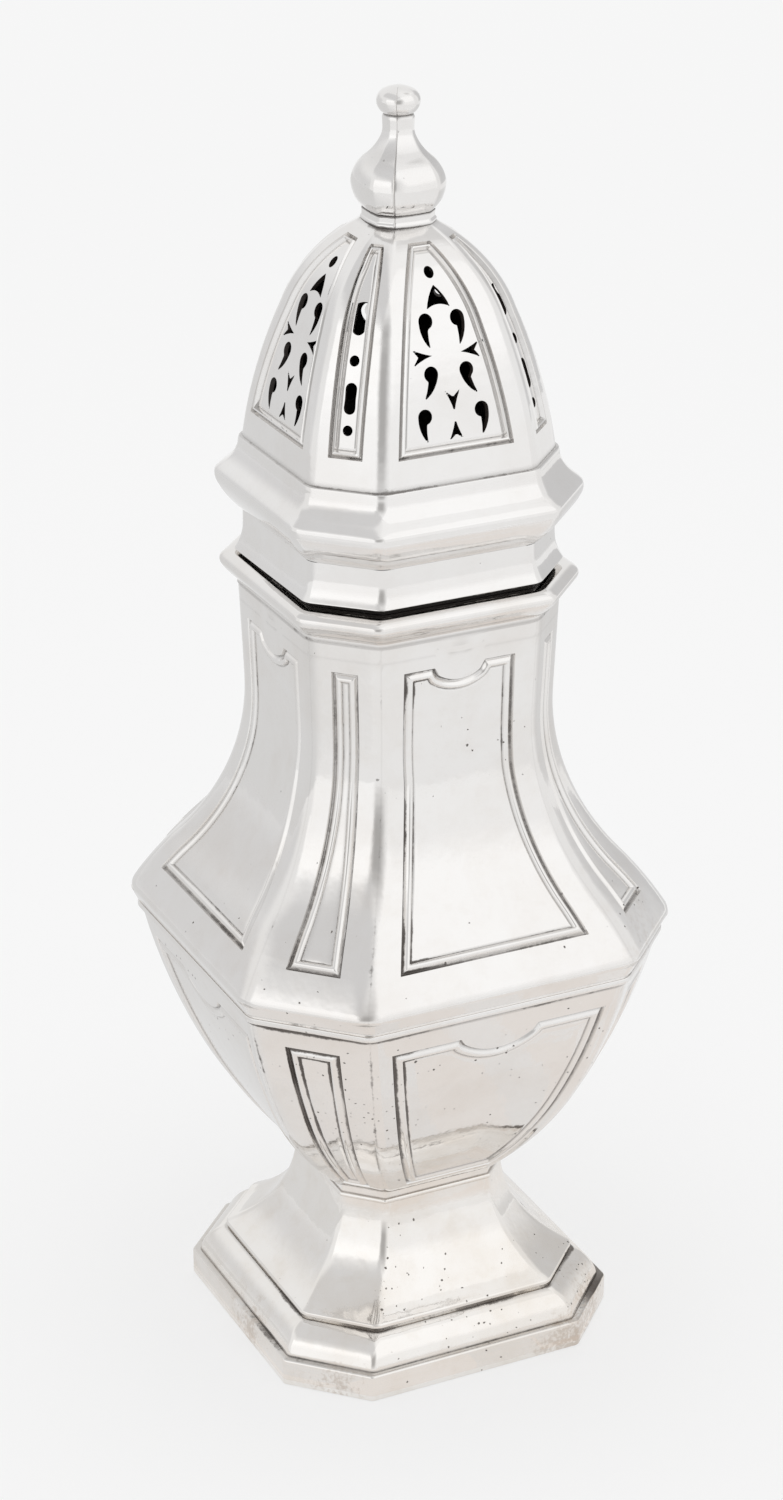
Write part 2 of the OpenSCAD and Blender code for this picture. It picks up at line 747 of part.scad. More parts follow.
foot_rim();
foot_ovolo();
foot_pedestal();
foot_collar();
bowl();
girdle_band();
upper_body();
neck_rim();
cover_bezel();
cover_skirt();
cover_cornice();
pierced_dome();
finial_bead();
finial();
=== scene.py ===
"""Looks of the panelled silver sugar caster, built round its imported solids.

Lengths are in millimetres until a mesh is made. Nearly every piece is a side profile, half width
against height, carried round a square with cut corners: four broad sides and four narrow ones.
"""

import math
from collections import namedtuple

import bmesh
import bpy
import numpy as np
from mathutils import Matrix


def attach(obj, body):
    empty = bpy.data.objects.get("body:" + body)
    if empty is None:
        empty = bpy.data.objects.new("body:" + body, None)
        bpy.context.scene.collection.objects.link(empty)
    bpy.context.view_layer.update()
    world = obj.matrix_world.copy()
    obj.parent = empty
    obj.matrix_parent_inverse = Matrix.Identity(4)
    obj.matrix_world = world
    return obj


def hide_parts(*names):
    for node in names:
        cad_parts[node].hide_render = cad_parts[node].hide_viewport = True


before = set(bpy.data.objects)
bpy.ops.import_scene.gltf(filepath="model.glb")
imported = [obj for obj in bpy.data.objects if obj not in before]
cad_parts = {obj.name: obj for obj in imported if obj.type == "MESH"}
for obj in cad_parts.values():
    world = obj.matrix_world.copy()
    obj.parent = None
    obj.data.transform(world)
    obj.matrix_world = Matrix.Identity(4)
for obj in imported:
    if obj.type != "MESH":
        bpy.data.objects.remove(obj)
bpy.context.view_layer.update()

MM = 0.001

# Heights at which one piece meets the next, from the table to the tip
RIM_TOP, OVOLO_TOP, PEDESTAL_TOP, COLLAR_TOP = 4.6, 9.2, 25.6, 28.3
BOWL_TOP, GIRDLE_TOP, UPPER_TOP, MOUTH = 67.4, 71.0, 123.4, 128.4
SKIRT_FOOT, SKIRT_TOP, CORNICE_TOP = 129.0, 135.2, 146.9
DOME_TOP, BEAD_TOP, TIP = 180.5, 182.2, 200.0

# Half width of a broad side as a share of the section's
FOOT_RATIO, BODY_RATIO, COVER_RATIO = 0.635, 0.615, 0.605

# Half the turn from one side to the next
TURN = math.radians(22.5)

# Most of a narrow side that the rounds of its ridges take, and most of a panel that its frame takes
ROUND_SHARE, FRAME_SHARE = 0.33, 0.85

# Mark of a panel's field, beyond any distance inside its edge, and the slope at the ends of its dip
FIELD = 9.0
DIP_SLOPE = 1.7

# Fall of a profile for each unit of its run, past which it is an inner face, and the share of the dark
# hollow colour painted there as shade
FALL = 0.3
PAINTED_INNER_SHADE = 0.85

# Darkening on the ridges of the body, and dirt along a casting seam for each millimetre of its height
RIDGE_DARKENING = 0.35
SEAM_DIRT = 3.4

# Distances in metres below which points and edges are merged, and the angle past which an edge is sharp
MERGED, COLLAPSED = 1e-7, 1e-8
SHARP = math.radians(42)

# Middle and reach of the places where dirt lies thick, where pits lie close and where the silver is stained
SOILED = [(-15, -31, 78, 8), (-11, -23, 94, 5), (-8, -21, 116, 4), (-30, -25, 61, 8),
          (-26, -20, 47, 6), (-17, -33, 60, 6), (-15, -30, 49, 6), (-26, -26, 67, 8),
          (-24, -10, 6, 7), (-15, -22, 9, 4), (3, -24, 9, 4), (25, -14, 9, 5),
          (8, -36, 72, 5), (26, -22, 5, 4), (-4, -3, 180.6, 2.5), (1, -4, 196, 1.5)]
PITTED = [(-20, -30, 54, 11), (-9, -20, 17, 8), (28, -28, 75, 8), (10, -32, 58, 12),
          (-27, -24, 73, 7), (-8, -24, 11, 6), (0, -27, 7, 9), (22, -18, 12, 9),
          (5, -22, 106, 7), (-30, 2, 60, 12), (-3, -4, 190, 4)]
STAINED = [(25, -25, 3, 8), (15, -29, 1, 5), (-21, -23, 1, 5), (-28, -4, 2, 6), (24, -28, 70, 8)]

# Pieces of one kind: ratio of their section, the body that they ride on, their slot and their material
Group = namedtuple("Group", "ratio body slot material")

# Panel of a side: gaps beside it at its foot and its top, its shift across, and the columns of the side
Panel = namedtuple("Panel", "low_gap top_gap shift cols")

# Border of a panel: distances inside its edge in units, the unit's length, and the height of its relief
Border = namedtuple("Border", "insets unit relief")

# Dip in the upper edge of a panel: its width, its depth and the radius of its arc
Dip = namedtuple("Dip", "width deep radius")


# Profiles

def shares(count):
    """Even shares of a whole, from 0 up to the last one before 1."""
    return np.linspace(0, 1, count + 1)[:-1]


def span(count):
    """Even shares between 0 and 1, both left out."""
    return np.linspace(0, 1, count + 2)[1:-1]


def bowed(p, q, rise, t):
    """Points at shares t of the circular arc from p to q that bows to the right by rise."""
    p, q = np.asarray(p, float), np.asarray(q, float)
    t = np.asarray(t, float)[:, None]
    if rise == 0:
        return p + (q - p) * t
    chord = np.hypot(*(q - p))
    along = (q - p) / chord
    out = np.array([along[1], -along[0]])
    half = 2 * math.atan(2 * abs(rise) / chord)
    r = chord / (2 * math.sin(half))
    turn = half * (2 * t - 1)
    bow = np.cos(turn) - math.cos(half)
    return (p + q) / 2 + along * r * np.sin(turn) + out * np.sign(rise) * r * bow


def side(points, closed=False, step=5.0, most=60.0):
    """Profile through [half width, height, rise, softness] points: arcs joined by quadratic curves.

    Each arc stops short of a corner by that corner's softness, and the curve through the corner's
    control point joins the two ends. An arc is split by its turn in degrees and by its length.
    """
    rows = [tuple(p) + (0.0,) * (4 - len(p)) for p in points]
    count = len(rows)
    arcs = []
    for k in range(count if closed else count - 1):
        p, q = rows[k], rows[(k + 1) % count]
        chord = math.hypot(q[0] - p[0], q[1] - p[1])
        sweep = math.degrees(4 * math.atan(2 * abs(p[2]) / chord))
        pieces = max(1, math.ceil(sweep / step), math.ceil(chord / most))
        along = np.linspace(p[3] / chord, 1 - q[3] / chord, 1 + pieces)
        arcs.append(bowed(p[:2], q[:2], p[2], along))
    t = np.array([0.2, 0.4, 0.6, 0.8])[:, None]
    line = []
    for k, arc in enumerate(arcs):
        if k > 0 or closed:
            corner = np.array(rows[k][:2])
            if rows[k][3] > 0:
                line.append((1 - t) ** 2 * arcs[k - 1][-1] + 2 * t * (1 - t) * corner + t ** 2 * arc[0])
            else:
                arc = arc[1:]
        line.append(arc)
    return np.concatenate(line)


def width_at(profile, z):
    """Half width of a profile at heights z."""
    return np.interp(z, profile[:, 1], profile[:, 0])


def lean_at(profile, z):
    """Change of half width with height, from points a little above and below."""
    step = 0.05
    return (width_at(profile, z + step) - width_at(profile, z - step)) / (2 * step)


# Sides of a piece, across

def half_side(field, insets, margin, fillet):
    """Columns of half a side, from its middle to the ridge.

    Each has the values f, s, p and c from which across works out its place, the drop 1 - cos at the
    ridge's round, and its distance inside the panel's edge, which is below zero outside the panel.
    """
    last = insets[-1] if insets else 0.0
    rows = []
    for share in field:
        rows.append((0, 0, share, -share * last, 0, FIELD) if insets else (share, 0, 0, 0, 0, -1))
    for d in reversed(insets):
        rows.append((0, 0, 1, -d, 0, d))
    for share in margin:
        rows.append((share, 0, 1 - share, 0, 0, -share))
    rows.append((1, 0, 0, 0, 0, -1))
    for turn in np.linspace(0, TURN, fillet + 1)[1:]:
        rows.append((1, math.sin(turn), 0, 0, 1 - math.cos(turn), -1))
    return np.array(rows, float)


def columns(field, insets=(), margin=(), fillet=4):
    """Columns of a whole side: the mirrored half, then the half without its middle and its last column."""
    right = half_side(field, list(insets), margin, fillet)
    left = right[::-1] * np.array([-1, -1, -1, -1, 1, 1])
    return np.concatenate([left, right[1:-1]]).T


def half_share(broad, ratio):
    """Half width of a side as a share of the section's half width."""
    return ratio if broad else (1 - ratio) / math.sqrt(2)


def reach_share(broad, ratio):
    """Distance of a side from the axis as a share of the section's half width."""
    return 1.0 if broad else (1 + ratio) / math.sqrt(2)


def ridge_round(a, ratio, ridge):
    """Radius of the round at a ridge, held back where a narrow side has no room for it."""
    return np.minimum(ridge, ROUND_SHARE * (1 - ratio) / math.sqrt(2) * a / math.tan(TURN))


def flat_half(a, broad, ratio, ridge):
    """Half width of the flat of a side between the rounds of its ridges."""
    return half_share(broad, ratio) * a - ridge_round(a, ratio, ridge) * math.tan(TURN)


def across(a, cols, broad, ratio, ridge, panel=None, scale=1.0, shift=0.0):
    """Places across a side and distances from the axis, for half widths a by rows and columns.

    A place is f F + s r, with F the half width of the flat and r the radius of the ridge's round. A panel
    of half width P adds scale times p P + m c + shift (1 - |f|), where m slims a frame that has no room.
    """
    f, s, p, c, drop, _ = cols
    r = ridge_round(a, ratio, ridge)
    x = f * flat_half(a, broad, ratio, ridge) + s * r
    if panel is not None:
        slim = np.minimum(1, FRAME_SHARE * panel / np.abs(c).max())
        x = x + scale * (p * panel + slim * c + shift * (1 - np.abs(f)))
    return x, reach_share(broad, ratio) * a - drop * r


def spun(parts):
    """Four broad and four narrow sides turned into place round the axis, as rows by columns by xyz."""
    sides = []
    for k in range(8):
        x, n, z = parts[k % 2]
        turn = math.radians(45 * k - 90)
        c, s = math.cos(turn), math.sin(turn)
        sides.append(np.stack([n * c - x * s, n * s + x * c, z], axis=-1))
    return np.concatenate(sides, axis=1)


def spread(parts):
    """One value for each point of the eight sides, in the order of spun."""
    return np.concatenate([parts[k % 2] for k in range(8)], axis=1)


# Meshes

def quads(rows, cols, closed):
    """Faces of a grid whose columns close round the axis, and whose rows close too if asked."""
    i = np.arange(rows if closed else rows - 1)[:, None]
    j = np.arange(cols)[None, :]
    up, on = (i + 1) % rows, (j + 1) % cols
    return np.stack([i * cols + j, i * cols + on, up * cols + on, up * cols + j], axis=-1).reshape(-1, 4)


def near(points, places):
    """Sum of bell curves about places [x, y, z, reach], held to 1."""
    found = np.zeros(len(points))
    for place in places:
        found += np.exp(-((points - np.array(place[:3])) ** 2).sum(1) / place[3] ** 2)
    return np.minimum(found, 1)


def lines(z, marks):
    """Sum of bell curves over height, held to 1: a mark is [height, half width, strength]."""
    return np.clip(sum(s * np.exp(-((z - at) / w) ** 2) for at, w, s in marks), 0, 1)


def solid(name, points, faces, values, group):
    """Mesh object from points in millimetres, with one float attribute for each named value.

    A value belongs to each point or to each face. Points at one place are merged, and the object stands
    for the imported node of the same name.
    """
    places = {"soiled": SOILED, "pitted": PITTED, "stained": STAINED}
    values = dict(values, **{key: near(points, spots) for key, spots in places.items()})
    mesh = bpy.data.meshes.new(name)
    corners = faces.shape[1]
    mesh.vertices.add(len(points))
    mesh.vertices.foreach_set("co", (points * MM).astype(np.float32).ravel())
    mesh.loops.add(faces.size)
    mesh.loops.foreach_set("vertex_index", faces.astype(np.int32).ravel())
    mesh.polygons.add(len(faces))
    mesh.polygons.foreach_set("loop_start", np.arange(0, faces.size, corners, dtype=np.int32))
    mesh.polygons.foreach_set("use_smooth", np.ones(len(faces), bool))
    for key, value in values.items():
        domain = "POINT" if np.size(value) == len(points) else "FACE"
        attribute = mesh.attributes.new(key, "FLOAT", domain)
        attribute.data.foreach_set("value", np.asarray(value, np.float32).ravel())
    mesh.update(calc_edges=True)
    work = bmesh.new()
    work.from_mesh(mesh)
    bmesh.ops.remove_doubles(work, verts=work.verts, dist=MERGED)
    bmesh.ops.dissolve_degenerate(work, edges=work.edges, dist=COLLAPSED)
    work.to_mesh(mesh)
    work.free()
    mesh.validate()
    mesh.set_sharp_from_angle(angle=SHARP)
    obj = bpy.data.objects.new(name, mesh)
    bpy.context.scene.collection.objects.link(obj)
    mesh.materials.append(group.material)
    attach(obj, group.body)
    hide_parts(name)


def moulding(name, group, ridge, points, marks, closed=True, turned=((0, 0), (1, 0)), seam=0.0, rake=0.0):
    """Solid from a profile carried round the eight sides, all plain.

    turned gives heights and how far the section there is drawn from eight sides to a circle, which is
    wider than the profile until the section is nearly round. seam is the height of the casting seam on
    two opposite ridges. The lower edge rises by rake at the front and falls by as much at the back.
    """
    wide, drawn, tiny = 1.2, 0.2, 1e-6
    path = side(points, closed, most=0.5)
    a, z = path[:, :1], path[:, 1:]
    circle = np.interp(z, *zip(*turned))
    ring = a * (wide - drawn * np.clip(2 * circle - 1, 0, 1))
    cols = columns(shares(3))
    parts, dirt = [], []
    for broad in (True, False):
        x, n = across(a, cols, broad, group.ratio, ridge)
        angle = np.arctan2(x, n)
        x = x + (ring * np.sin(angle) - x) * circle
        n = n + (ring * np.cos(angle) - n) * circle
        parts.append((x, n, np.broadcast_to(z, x.shape)))
        dirt.append(np.broadcast_to(lines(z, marks), x.shape))
    grid = spun(parts)
    opposite = grid.shape[1] // 2
    for k in (0, opposite):
        out = np.hypot(grid[:, k, 0], grid[:, k, 1])
        grid[:, k, :2] *= (1 + seam * (out > 1) / np.maximum(out, 1))[:, None]
    lower = (z.max() - grid[:, :, 2]) / (z.max() - z.min())
    grid[:, :, 2] -= rake * lower * grid[:, :, 1] / a.max()
    tarnish_and_groove_shade = spread(dirt)
    tarnish_and_groove_shade[:, [1, opposite + 1]] += SEAM_DIRT * seam
    # Painted shade: faces that fall inwards take the dark hollow colour
    down = np.gradient(path[:, 1]) < -FALL * np.abs(np.gradient(path[:, 0])) - tiny
    inside = np.broadcast_to(PAINTED_INNER_SHADE * down[:, None], grid.shape[:2])
    values = {"tarnish_and_groove_shade": tarnish_and_groove_shade, "inside": inside}
    solid(name, grid.reshape(-1, 3), quads(*grid.shape[:2], closed), values, group)


# Panels

INSETS = (0, 0.08, 0.16, 0.26, 0.38, 0.52, 0.68, 0.85, 1.0, 1.2, 1.4, 1.54, 1.66, 1.76, 1.86, 2.0, 2.2)
DOME_INSETS = (0, 0.12, 0.26, 0.42, 0.62, 0.85, 1.1, 1.4, 1.6, 1.76, 1.92, 2.2)


def ribbon(d):
    """Height of the surface at distance d inside a panel's edge: groove, raised ribbon, sunk field."""
    at = (0, 0.16, 0.26, 0.42, 0.85, 1.0, 1.2, 1.4, 1.6, 1.76, 1.92, 2.2)
    up = (0, -0.3, -0.36, -0.33, 0.0, 0.07, 0.09, 0.05, -0.13, -0.28, -0.25, -0.2)
    return np.interp(d, at, up)


def groove_darkness(d):
    """Darkness at distance d inside a panel's edge: strongest in the groove and along the field."""
    at = (0, 0.08, 0.16, 0.26, 0.38, 0.68, 0.9, 1.45, 1.6, 1.76, 1.92, 2.2)
    dark = (0, 0.5, 0.9, 1, 0.75, 0.3, 0, 0, 0.4, 0.9, 0.5, 0)
    return np.interp(d, at, dark)


def framed(field, border, margin=(0.5,), fillet=4):
    """Columns of a panelled side whose frame is drawn in units of its border."""
    return columns(field, [d * border.unit for d in border.insets], margin, fillet)


def dip_field(dip, half):
    """Columns of half a field, close together where the dip's slope meets the straight edge."""
    before, after = 0.9, 1.4
    start, end = (dip.width / 2 - before) / half, (dip.width / 2 + after) / half
    return np.unique(np.concatenate([np.linspace(0, start, 12), np.linspace(start, end, 14),
                                     np.linspace(end, 1, 5)]))[:-1]


def panelled(profile, ratio, ridge, heights, panels, rows, border, dip=None, taper=1.0):
    """Outer surface with a framed panel on each side, broad and narrow, between two heights.

    Rows run from the profile's foot to the panel's lower edge, over its frame, up the field, over the
    frame again and on to the profile's top: rows gives their shares below, in the field and above. The
    upper rows of a broad side follow the dip: the arc of a circle between two short slopes, both offset
    by each row's distance inside the edge. A taper above 1 keeps the narrow panels wide until near their
    top. The relief is laid on along the normal.
    """
    low, high = heights
    foot, top = profile[0, 1], profile[-1, 1]
    low_rate, high_rate = (1 / math.hypot(1, lean_at(profile, height)) for height in heights)
    low_a, high_a = width_at(profile, low), width_at(profile, high)
    below, field, above = rows
    insets = np.array(border.insets) * border.unit
    share = np.concatenate([0 * insets, field, 0 * insets + 1])[:, None]
    edge = np.concatenate([insets, np.full(len(field), insets[-1]), insets[::-1]])[:, None]
    mark = np.concatenate([np.full(len(below), -1.0), insets, np.full(len(field), FIELD),
                           insets[::-1], np.full(len(above), -1.0)])[:, None]
    parts = []
    for broad, (low_gap, top_gap, shift, cols) in zip((True, False), panels):
        k = half_share(broad, ratio)
        low_half, top_half = k * low_a - low_gap, k * high_a - top_gap
        x_top = cols[2] * top_half + cols[3] + cols[0] * flat_half(high_a, broad, ratio, ridge)
        depth = edge + 0 * x_top
        if dip is not None and broad:
            ramp = DIP_SLOPE * (dip.width / 2 - np.abs(x_top)) + edge * math.hypot(1, DIP_SLOPE)
            arc = np.sqrt(np.maximum((dip.radius + edge) ** 2 - x_top ** 2, 0))
            depth = np.maximum(depth, np.minimum(ramp, arc - (dip.radius - dip.deep)))
        z_low, z_top = low + edge * low_rate, high - depth * high_rate
        z = (1 - share) * z_low + share * z_top
        under = foot + (z[:1] - foot) * np.asarray(below)[:, None]
        over = z[-1:] + (top - z[-1:]) * np.asarray(above)[:, None]
        z = np.concatenate([under, z, over])
        inset = np.minimum(mark, cols[5])
        a = width_at(profile, z)
        middle = np.clip((low_a - a) / (low_a - high_a), 0, 1)
        half = low_half + (top_half - low_half) * middle ** (1.0 if broad else taper)
        end = np.where(middle <= 0, low_a, high_a)
        own = flat_half(a, broad, ratio, ridge)
        scale = np.where((z < low) | (z > high), own / flat_half(end, broad, ratio, ridge), 1.0)
        x, n = across(a, cols, broad, ratio, ridge, half, scale, shift)
        slope = lean_at(profile, z) * reach_share(broad, ratio)
        lift = border.relief * ribbon(inset / border.unit) * (inset >= 0) / np.hypot(1, slope)
        parts.append({"x": x, "n": n, "z": z, "inset": inset, "slope": slope, "cols": cols[5],
                      "rows": mark[:, 0], "dirt": groove_darkness(inset / border.unit),
                      "skin": (x, n + lift, z - lift * slope)})
    return parts


def lined(path, panels, ratio, ridge, a_top):
    """Rows of the plain inner surface, with the same columns as the panelled outer one.

    The columns lie as they do at the panels' upper edge, where the half width is a_top, scaled to the
    flat of each row.
    """
    a, z = path[:, :1], path[:, 1:]
    parts = []
    for broad, panel in zip((True, False), panels):
        half = half_share(broad, ratio) * a_top - panel.top_gap
        scale = flat_half(a, broad, ratio, ridge) / flat_half(a_top, broad, ratio, ridge)
        x, n = across(a, panel.cols, broad, ratio, ridge, half, scale)
        parts.append((x, n, np.broadcast_to(z, x.shape)))
    return parts


def panelled_shell(name, group, ridge, outer, inner, heights, panels, rows, border, dip, strength, marks):
    """Panelled outer surface and plain inner one joined into a closed solid.

    Its dark marks are the most of three: the frames' by strength, the marks', and a little darkening on the
    ridges that falls off with the fourth power of the place across their round. Oxide and a faint painted
    groove shade come from them, and the inner surface is painted with the dark hollow colour as shade.
    """
    parts = panelled(outer, group.ratio, ridge, heights, panels, rows, border, dip)
    back = lined(inner, panels, group.ratio, ridge, width_at(outer, heights[1]))
    grid = np.concatenate([spun([part["skin"] for part in parts]), spun(back)])
    count, cols = len(inner), grid.shape[1]
    frames = strength * spread([part["dirt"] for part in parts])
    dark = np.maximum(frames, lines(grid[:-count, :, 2], marks))
    edges = [(panel.cols[1] / math.sin(TURN)) ** 4 + 0 * part["dirt"]
             for part, panel in zip(parts, panels)]
    dark = np.maximum(dark, RIDGE_DARKENING * spread(edges))
    # Painted shade: the inner surface takes the dark hollow colour
    values = {"tarnish_and_groove_shade": np.concatenate([dark, np.zeros((count, cols))]),
              "inside": np.concatenate([np.zeros(dark.shape), np.full((count, cols), PAINTED_INNER_SHADE)])}
    solid(name, grid.reshape(-1, 3), quads(*grid.shape[:2], True), values, group)


# Piercings

def outline(points, step=8.0):
    """Closed outline whose stretches are arcs, from [x, y, rise] points."""
    return side([tuple(p) + (0.0,) for p in points], True, step)


def comma():
    """Comma with its back to the left: a round head about the origin and a thin hooked tail."""
    r, tail, throat = 1.1, 3.75, math.radians(80)
    rise = r * (1 - math.cos((math.pi + throat) / 2))
    return outline([(r * math.cos(throat), -r * math.sin(throat), rise), (-r, 0, 0.42), (0.2, -tail, -0.08)])


def dart():
    """Dart that points up with its tip at the origin, hollow at the sides and notched behind."""
    return outline([(0, 0.3, -0.16), (-1.3, -3.0, 0), (0, -1.95, 0), (1.3, -3.0, -0.16)])


def spear():
    """Spearhead with bowed sides on an arched base."""
    return outline([(0, 2.95, 0.25), (-1.85, -0.1, -0.55), (1.85, -0.1, 0.25)])


def disc(d):
    """Round hole of diameter d."""
    turn = 2 * math.pi * shares(32)
    return d / 2 * np.stack([np.cos(turn), np.sin(turn)], axis=-1)


def slot_hole(w, l):
    """Slot of width w and length l with round ends and a slight waist."""
    y, waist = (l - w) / 2, 0.06
    return outline([(w / 2, y, w / 2), (-w / 2, y, -waist), (-w / 2, -y, w / 2), (w / 2, -y, -waist)])


def keyhole(w, l):
    """Slot with a round bite out of the right of its upper end, which leaves a hooked tip."""
    y = (l - w) / 2
    return outline([(0.45 * w, 0.46 * l, 0.25), (-w / 2, 0.36 * l, -0.08), (-w / 2, -y, w / 2),
                    (w / 2, -y, 0), (0.48 * w, 0.1 * l, -0.52)])


def put(shape, x, y, flip=False, turn=0.0):
    """Outline mirrored if asked, turned by degrees and moved to its place."""
    t = math.radians(turn)
    p = shape * np.array([-1.0 if flip else 1.0, 1.0])
    p = p @ np.array([[math.cos(t), math.sin(t)], [-math.sin(t), math.cos(t)]])
    return p + np.array([x, y])


def broad_holes():
    """Piercings of a broad side: pairs mirrored about its middle, and four on the middle line."""
    holes = [put(disc(1.5), -0.2, 28.7), put(spear(), -0.1, 24.2), put(dart(), 0.2, 10.1, turn=180),
             put(dart(), 0.2, 8.8)]
    for hand in (-1, 1):
        flip = hand > 0
        holes += [put(comma(), hand * 2.5, 22.6, flip),
                  put(dart(), hand * 2.5, 18.0, turn=90 * hand),
                  put(comma(), hand * 2.8, 15.5, not flip, turn=20 * hand),
                  put(comma(), hand * 4.5, 9.8, flip)]
    return holes


def narrow_holes():
    """Piercings of a narrow side: slots and round holes in turn, a little to the left of its middle."""
    x = -0.35
    return [put(keyhole(2.1, 4.5), x, 23.4), put(disc(1.5), x, 17.8),
            put(slot_hole(1.75, 4.35), x, 12.7), put(disc(1.5), x, 8.3)]


def clearance(x, y, holes):
    """Distance from each point to the nearest outline, negative inside one.

    It is worked out within a margin of each hole, and is set to FIELD elsewhere. A point is inside
    where a level line to its right crosses the outline an odd number of times.
    """
    margin, tiny = 1.0, 1e-9
    least = np.full(x.shape, FIELD)
    for hole in holes:
        lo, hi = hole.min(0) - margin, hole.max(0) + margin
        close = (x > lo[0]) & (x < hi[0]) & (y > lo[1]) & (y < hi[1])
        px, py = x[close][:, None], y[close][:, None]
        p, q = hole, np.roll(hole, -1, axis=0)
        dx, dy = (q - p).T
        wx, wy = px - p[:, 0], py - p[:, 1]
        t = np.clip((wx * dx + wy * dy) / (dx * dx + dy * dy), 0, 1)
        gap = np.sqrt(((wx - t * dx) ** 2 + (wy - t * dy) ** 2).min(1))
        rising = (p[:, 1] > py) != (q[:, 1] > py)
        crossed = rising & (wx < dx * wy / np.where(dy == 0, tiny, dy))
        inside = crossed.sum(1) % 2 == 1
        least[close] = np.minimum(least[close], np.where(inside, -gap, gap))
    return least


def pierced(outer, inner, keep, tarnish_and_groove_shade):
    """Closed triangle mesh between two grids, cut where keep is below zero.

    Each cell is two triangles. A triangle with corners of both signs is cut where keep, taken as linear
    along its edges, is zero, and a wall joins the cut of the outer grid to that of the inner one. A keep
    too near zero is pushed away from it, so that no cut leaves a sliver.
    """
    least = 0.012
    rows, cols = keep.shape
    cell = quads(rows, cols, False)
    tri = np.concatenate([cell[:, [0, 1, 2]], cell[:, [0, 2, 3]]])
    value = keep.ravel()
    value = np.where(np.abs(value) < least, np.where(value < 0, -least, least), value)
    good = value[tri] > 0
    count = good.sum(1)
    whole = tri[count == 3]
    part = (count == 1) | (count == 2)
    mixed, flags = tri[part], good[part]
    lone_good = flags.sum(1) == 1
    lone = np.argmax(flags == lone_good[:, None], axis=1)
    mixed = np.take_along_axis(mixed, (lone[:, None] + np.arange(3)) % 3, axis=1)
    edges = np.concatenate([mixed[:, [0, 1]], mixed[:, [0, 2]]])
    pairs, where = np.unique(np.sort(edges, axis=1), axis=0, return_inverse=True)
    where = where.ravel() + rows * cols
    first, second = where[:len(mixed)], where[len(mixed):]
    va, vb = value[pairs[:, 0]], value[pairs[:, 1]]
    t = (va / (va - vb))[:, None]
    one, two = mixed[lone_good], mixed[~lone_good]
    f1, s1, f2, s2 = first[lone_good], second[lone_good], first[~lone_good], second[~lone_good]
    stack = lambda *ends: np.stack(ends, axis=1)
    kept = np.concatenate([whole, stack(one[:, 0], f1, s1), stack(f2, two[:, 1], two[:, 2]),
                           stack(f2, two[:, 2], s2)])
    total = rows * cols + len(pairs)
    start, end = np.concatenate([s1, f2]), np.concatenate([f1, s2])
    foot = np.arange(cols)
    foot_on = (foot + 1) % cols
    head, head_on = foot + (rows - 1) * cols, foot_on + (rows - 1) * cols
    strip = lambda p, q: np.concatenate([stack(p, q, q + total), stack(p, q + total, p + total)])
    walls = [strip(start, end), strip(foot_on, foot), strip(head, head_on)]
    faces = np.concatenate([kept, kept[:, ::-1] + total, *walls])
    cut = lambda grid: grid[pairs[:, 0]] * (1 - t) + grid[pairs[:, 1]] * t
    grids = [outer.reshape(-1, 3), inner.reshape(-1, 3)]
    points = np.concatenate([piece for grid in grids for piece in (grid, cut(grid))])
    dark = tarnish_and_groove_shade.reshape(-1, 1)
    tarnish_and_groove_shade = np.concatenate([dark, cut(dark), np.zeros((total, 1))])
    used, corners = np.unique(faces, return_inverse=True)
    # Painted shade: the walls of the openings and the inner surface take the dark hollow colour
    values = {"tarnish_and_groove_shade": tarnish_and_groove_shade.ravel()[used], "inside": np.arange(len(faces)) >= len(kept)}
    return points[used], corners.reshape(-1, 3), values


# Materials

class Wire:
    """A socket in a node tree. Arithmetic on it adds Math nodes, and node adds any other node."""

    def __init__(self, tree, socket):
        self.tree = tree
        self.socket = socket

    def node(self, kind, settings=None, out=0, **values):
        """New node with its settings set first, then its sockets' values or links, by name or number."""
        made = self.tree.nodes.new(kind)
        for key, value in (settings or {}).items():
            setattr(made, key, value)
        for key, value in values.items():
            entry = made.inputs[int(key[1:]) if key[1:].isdigit() else key.replace("_", " ")]
            if isinstance(value, Wire):
                self.tree.links.new(value.socket, entry)
            else:
                entry.default_value = value
        return Wire(self.tree, made.outputs[out])

    def math(self, operation, *others):
        """Math node on this value and the others."""
        values = {f"i{k}": value for k, value in enumerate((self,) + others)}
        return self.node("ShaderNodeMath", {"operation": operation}, **values)

    def __add__(self, other):
        return self.math("ADD", other)

    __radd__ = __add__

    def __mul__(self, other):
        return self.math("MULTIPLY", other)

    __rmul__ = __mul__

    def __sub__(self, other):
        return self.math("SUBTRACT", other)

    def __rsub__(self, other):
        return (self * -1.0) + other

    def step(self, low, high):
        """Smooth rise from 0 to 1 between low and high."""
        return self.node("ShaderNodeMapRange", {"interpolation_type": "SMOOTHSTEP"},
                         Value=self, From_Min=low, From_Max=high)

    def top(self, other):
        """The greater of two values."""
        return self.math("MAXIMUM", other)

    def mix(self, first, second):
        """Colour between first and second by this factor."""
        return self.node("ShaderNodeMix", {"data_type": "RGBA"}, out=2, i0=self, i6=first, i7=second)


def opaque(colour):
    """Colour with full alpha. One number stands for a grey."""
    return (colour,) * 3 + (1.0,) if np.isscalar(colour) else tuple(colour) + (1.0,)


def blank_material(name):
    """Empty material and the Wire that starts its tree."""
    made = bpy.data.materials.new(name)
    made.use_nodes = True
    made.node_tree.nodes.clear()
    return made, Wire(made.node_tree, None)


def finished(made, shader):
    """Material with its shader linked to its output."""
    output = made.node_tree.nodes.new("ShaderNodeOutputMaterial")
    made.node_tree.links.new(shader.socket, output.inputs[0])
    return made


# Colours of the painted shade on inner faces, as in the hollow behind the piercings, of oxide and of brown
# stain
PAINTED_HOLLOW_SHADE = (0.02, 0.014, 0.011)
OXIDE = (0.07, 0.055, 0.046)
BROWN = (0.56, 0.48, 0.41)

# Depth of the bump in metres
BUMP = 0.00016


